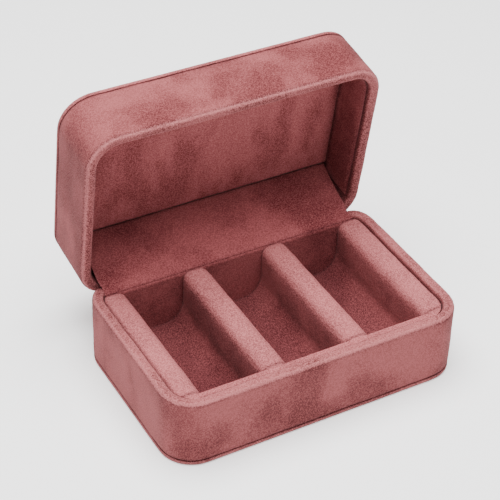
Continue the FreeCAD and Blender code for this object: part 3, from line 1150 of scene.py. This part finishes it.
@dataclass
class LidShell:
    """The lid's band, top plate, lining and inner panel.

    Attributes:
        band: the band's sizes.
        plate: the plate's sizes.
        softness: the band's unevenness.
        lining_corner: plan radius of the lining.
        lining_thickness: of its cloth.
        panel_corner: plan radius of the panel.
        panel_edge: rounding of its face's edge.
        panel_glue: width of its border that is glued down.
        filling: the cloth pass over the panel's foam.
        pitch: spacing of the meshes before they are refined.
    """

    band: BandShape = BandShape()
    plate: PlateShape = PlateShape()
    softness: Softness = Softness()
    lining_corner: float = 10.4 * MM
    lining_thickness: float = 0.8 * MM
    panel_corner: float = 9.5 * MM
    panel_edge: float = 0.8 * MM
    panel_glue: float = 1.5 * MM
    filling: Filling = Filling(limit=0.7 * MM)
    pitch: float = 3.2 * MM

    def build(self, swing: LidSwing, wardrobe: Wardrobe) -> None:
        """Make every covered piece of the lid and seat it."""
        makers = (
            (self.wrap, "lid_wrap", "velvet_outside"),
            (self.top_plate, "top_plate_cover", "velvet_outside"),
            (self.lining, "lid_lining", "velvet_inside"),
            (self.panel, "lid_panel_cover", "velvet_inside"),
        )
        for maker, node, slot in makers:
            piece = maker(swing)
            piece.data.transform(swing.to_rest())
            # the panel wears the lighter, painted-light copy of the inside velvet
            is_panel = node == "lid_panel_cover"
            wardrobe.dress(piece, slot, LIT_PANEL.name if is_panel else None)
            seat(piece, "lid", node)

    def wrap(self, swing: LidSwing) -> bpy.types.Object:
        """The lid's band, shaped rim up and turned over."""
        low, high = swing.shut_box("lid_wrap")
        wrap = self.band.build("lid_velvet_band", low, high)
        middle = Matrix.Translation((low + high) / 2)
        wrap.data.transform(middle @ Matrix.Rotation(math.pi, 4, "X") @ middle.inverted())
        refine(wrap, 2)
        self.softness.press(wrap)
        self.band.mark(wrap, low, high, low.z)
        return wrap

    def top_plate(self, swing: LidSwing) -> bpy.types.Object:
        """The covered plate on top of the shut lid."""
        low, high = swing.shut_box("top_plate_cover")
        return self.plate.build("top_plate_velvet", low, high, low.z)

    def lining(self, swing: LidSwing) -> bpy.types.Object:
        """The velvet band inside the lid's walls, open at the rear."""
        low, high = swing.shut_box("lid_lining")
        rear = high.y
        full = Vector((high.x, -low.y, high.z))
        bench = Bench("lid_lining_velvet", low, full)
        bench.runs(UP).bevel(self.lining_corner, 8)
        bench.facing(UP, -UP).remove()
        bench.cut(Axis.X, spaced(low.x + self.lining_corner, high.x - self.lining_corner, self.pitch))
        bench.cut(Axis.Y, spaced(low.y + self.lining_corner, rear, self.pitch) + [rear])
        bench.cut(Axis.Z, spaced(low.z, high.z, self.pitch))
        bench.pick(Element.FACE, lambda face: face.calc_center_median().y > rear).remove()
        lining = bench.done()
        apply_modifier(lining, "SOLIDIFY", thickness=self.lining_thickness, offset=-1)
        refine(lining, 1)
        Softness(swell=0.2 * MM).press(lining)
        depth = places_of(lining)[:, 2] - low.z
        panel_z = swing.shut_box("lid_panel_cover")[0].z - low.z
        # painted highlight just inside the lining's open edge; painted shade at that edge and where it meets the
        # panel
        seam = np.clip((depth - panel_z + 1.6 * MM) / (1.6 * MM), 0, 1)
        set_fields(lining, 0.25 * bell(depth - 1.5 * MM, 1.5 * MM), 0.85 * seam + 0.6 * bell(depth, 0.8 * MM))
        return lining

    def panel(self, swing: LidSwing) -> bpy.types.Object:
        """The flat padded panel that faces the insert."""
        low, high = swing.shut_box("lid_panel_cover")
        bench = Bench("lid_panel_velvet", low, high)
        bench.runs(UP, lambda middle: middle.y < 0).bevel(self.panel_corner, 8)
        bench.pick(Element.EDGE, lambda edge: max(v.co.z for v in edge.verts) < low.z + SAME)
        bench.bevel(self.panel_edge, 3)
        bench.cut(Axis.X, spaced(low.x + self.panel_corner, high.x - self.panel_corner, self.pitch))
        bench.cut(Axis.Y, spaced(low.y + self.panel_corner, high.y - self.panel_edge, self.pitch))
        panel = bench.done()
        places = places_of(panel)
        sides = high.x - np.abs(places[:, 0])
        border = np.minimum(np.minimum(sides, high.y - places[:, 1]), places[:, 1] - low.y)
        self.filling.fill(panel, (places[:, 2] > low.z + SAME) | (border < self.panel_glue))
        refine(panel, 2, "SIMPLE")
        Softness(swell=0.3 * MM, swell_size=20 * MM, fuzz=0.1 * MM).press(panel)
        places = places_of(panel)
        border = plan_depth(places, low, high, self.panel_corner)
        square = np.minimum(high.y - places[:, 1], high.x - np.abs(places[:, 0]))
        border = np.where(places[:, 1] > 0, square, border)
        # a faint painted highlight all over and painted shade round the panel's border
        set_fields(panel, 0.05, 0.8 * bell(border, 0.9 * MM))
        return panel


@dataclass
class SoftJoints:
    """The flap over the hinges and the strip between the rear walls.

    Attributes:
        flap_thickness: of the stiffened cloth.
        flap_sag: how far its middle hangs.
        flap_reach: how far it runs in under the lid's panel.
        flap_waist: how much narrower its middle is, as a share.
        flap_corner: how much it draws in at the base's corners, as a share.
        flap_bend: how far up the flap its bend ends, as a share.
        flap_corner_length: how far up the flap the base's corners reach.
        strip_length: the strip's length along its fold.
        strip_weld: how near two of its vertices are merged.
        pitch: spacing of the flap's mesh before it is refined.
    """

    flap_thickness: float = 1.2 * MM
    flap_sag: float = 0.5 * MM
    flap_reach: float = 0.7 * MM
    flap_waist: float = 0.012
    flap_corner: float = 0.012
    flap_bend: float = 0.3
    flap_corner_length: float = 9.0 * MM
    strip_length: float = 10.2 * MM
    strip_weld: float = 0.001 * MM
    pitch: float = 2.6 * MM

    def build(self, wardrobe: Wardrobe) -> None:
        """Make both soft pieces."""
        self.flap(wardrobe)
        self.spine(wardrobe)

    def flap(self, wardrobe: Wardrobe) -> None:
        """The stiffened flap, from the insert's rear edge to the lid's panel."""
        low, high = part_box("hinge_cover_flap")
        foot = Vector((0, low.y, low.z))
        highest = max((v.co for v in frame["nodes"]["hinge_cover_flap"].data.vertices), key=lambda p: p.z)
        run = Vector((0, highest.y, highest.z)) - foot
        run += run.normalized() * self.flap_reach
        width = high.x - low.x
        bpy.ops.object.select_all(action="DESELECT")
        bpy.ops.mesh.primitive_grid_add(x_subdivisions=round(width / self.pitch),
                                        y_subdivisions=round(run.length / self.pitch), size=1)
        flap = bpy.context.active_object
        flap.name = "hinge_cover_flap_velvet"
        grid = places_of(flap)
        share = grid[:, 1] + 0.5
        normal = Vector((0, -run.z, run.y)).normalized()
        sag = -self.flap_sag * np.sin(math.pi * share)
        pull = 1 - self.flap_waist * np.sin(math.pi * share)
        out = np.empty_like(grid)
        out[:, 0] = grid[:, 0] * width * pull * self.corner_pull(share * run.length)
        out[:, 1] = foot.y + run.y * share + normal.y * sag
        out[:, 2] = foot.z + run.z * share + normal.z * sag
        move_to(flap, out)
        apply_modifier(flap, "SOLIDIFY", thickness=self.flap_thickness, offset=-1)
        apply_modifier(flap, "BEVEL", width=0.4 * MM, segments=2, limit_method="ANGLE")
        refine(flap, 2, "SIMPLE")
        Softness(swell=0.25 * MM, fuzz=0.1 * MM).press(flap)
        places = places_of(flap)
        share = ((places - np.array(foot)) @ np.array(run)) / run.length_squared
        # painted highlight along the flap's sides, painted shade at its lower and upper ends
        ends = bell(np.minimum(share, 1 - share) * run.length, 0.9 * MM)
        sides = bell(width / 2 - np.abs(places[:, 0]), 1.2 * MM)
        set_fields(flap, 0.05 + 0.25 * sides, 0.7 * ends)
        wardrobe.dress(flap, "velvet_inside")
        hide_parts("hinge_cover_flap")
        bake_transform(flap)
        LOG.info("%s bends between base and lid", flap.name)

    def corner_pull(self, climb: np.ndarray) -> np.ndarray:
        """How far the flap's width draws in where it passes the base's rounded corners.

        Args:
            climb: distance up the flap from its lower edge.
        """
        return 1 - self.flap_corner * np.sin(math.pi * np.clip(climb / self.flap_corner_length, 0, 1))

    def spine(self, wardrobe: Wardrobe) -> None:
        """The strip behind the hinges, which stays the frame's own shape."""
        node = frame["nodes"]["spine_strip"]
        strip = bpy.data.objects.new("spine_strip_velvet", node.data.copy())
        bpy.context.scene.collection.objects.link(strip)
        activate(strip)
        bpy.ops.object.mode_set(mode="EDIT")
        close_up(self.strip_weld)
        strip.data.shade_smooth()
        set_fields(strip, 0.0, 0.0)
        wardrobe.dress(strip, "velvet_outside")
        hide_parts("spine_strip")
        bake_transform(strip)
        LOG.info("%s bends between base and lid", strip.name)


# ---- floor, light and camera ----

@dataclass(frozen=True)
class Lamp:
    """One round soft light that is aimed at the box's middle."""

    name: str
    place: tuple[float, float, float]
    size: float
    watts: float

    def hang(self, aim: Vector) -> None:
        """Put the light in the scene.

        Args:
            aim: the point that it shines at.
        """
        light = bpy.data.lights.new(self.name, "AREA")
        light.shape = "DISK"
        light.size = self.size
        light.energy = self.watts
        lamp = bpy.data.objects.new(self.name, light)
        bpy.context.scene.collection.objects.link(lamp)
        lamp.location = self.place
        lamp.rotation_euler = (aim - Vector(self.place)).to_track_quat("-Z", "Y").to_euler()


KEY = Lamp("key", (-0.05, 0.03, 1.0), 1.0, 31.0)
SIDE = Lamp("side", (-0.9, -0.35, 0.6), 0.6, 0.8)
FILL = Lamp("fill", (0.1, -1.0, 0.5), 0.9, 2.2)


@dataclass
class Studio:
    """A pale floor, soft light and the camera.

    Attributes:
        azimuth: degrees from the front, to the right.
        elevation: degrees above the floor.
        roll: degrees that the camera leans.
        distance: from the target.
        target: the point that the camera looks at.
        lens: focal length, in millimetres.
        shift_x: sideways shift of the lens.
        floor_glow: the floor's own light.
        surround: strength of the world's light.
    """

    azimuth: float = -30.197
    elevation: float = 37.501
    roll: float = 2.02
    distance: float = 665.997 * MM
    target: tuple[float, float, float] = (-45.032 * MM, -56.289 * MM, 118.182 * MM)
    lens: float = 121.3
    shift_x: float = -0.0044
    floor_glow: float = 0.45
    surround: float = 0.24

    def build(self) -> None:
        """Make the floor, the lights, the world and the camera."""
        self.floor()
        for lamp in (KEY, SIDE, FILL):
            lamp.hang(Vector((0, 0, 0.05)))
        self.world()
        self.camera()

    def floor(self) -> None:
        """A wide pale floor just under the box."""
        bpy.ops.object.select_all(action="DESELECT")
        bpy.ops.mesh.primitive_plane_add(size=6, location=(0, 0, -0.05 * MM))
        floor = bpy.context.active_object
        floor.name = "floor"
        material = bpy.data.materials.new("pale_floor")
        material.use_nodes = True
        shader = material.node_tree.nodes["Principled BSDF"]
        shader.inputs["Base Color"].default_value = (0.95, 0.95, 0.95, 1)
        shader.inputs["Roughness"].default_value = 0.9
        shader.inputs["Emission Color"].default_value = (1, 1, 1, 1)
        shader.inputs["Emission Strength"].default_value = self.floor_glow
        floor.data.materials.append(material)

    def world(self) -> None:
        """An even, pale surround."""
        world = bpy.data.worlds.new("surround")
        world.use_nodes = True
        world.node_tree.nodes["Background"].inputs["Color"].default_value = (1, 1, 1, 1)
        world.node_tree.nodes["Background"].inputs["Strength"].default_value = self.surround
        bpy.context.scene.world = world

    def camera(self) -> None:
        """Look down at the box from the front and the left."""
        turn, rise = math.radians(self.azimuth), math.radians(self.elevation)
        back = Vector((math.sin(turn) * math.cos(rise), -math.cos(turn) * math.cos(rise), math.sin(rise)))
        data = bpy.data.cameras.new("camera")
        data.lens = self.lens
        data.shift_x = self.shift_x
        data.clip_start = 0.01
        eye = bpy.data.objects.new("camera", data)
        bpy.context.scene.collection.objects.link(eye)
        right = (-back).cross(Vector((0, 0, 1))).normalized()
        up = right.cross(-back)
        lean = math.radians(self.roll)
        across = right * math.cos(lean) + up * math.sin(lean)
        upward = up * math.cos(lean) - right * math.sin(lean)
        place = Vector(self.target) + back * self.distance
        eye.matrix_world = Matrix.Translation(place) @ Matrix((across, upward, back)).transposed().to_4x4()
        bpy.context.scene.camera = eye


def main() -> None:
    """Build every sub-assembly in order, then the floor, the lights and the camera."""
    logging.basicConfig(level=logging.INFO, format="%(name)s: %(message)s")
    swing = LidSwing.from_frame()
    wardrobe = Wardrobe()
    wardrobe.dress_frame()
    for shell in (BaseShell(), LidShell()):
        shell.build(swing, wardrobe)
    for soft in (SoftJoints(), InsertTray()):
        soft.build(wardrobe)
    Studio().build()


if __name__ == "__main__":
    main()
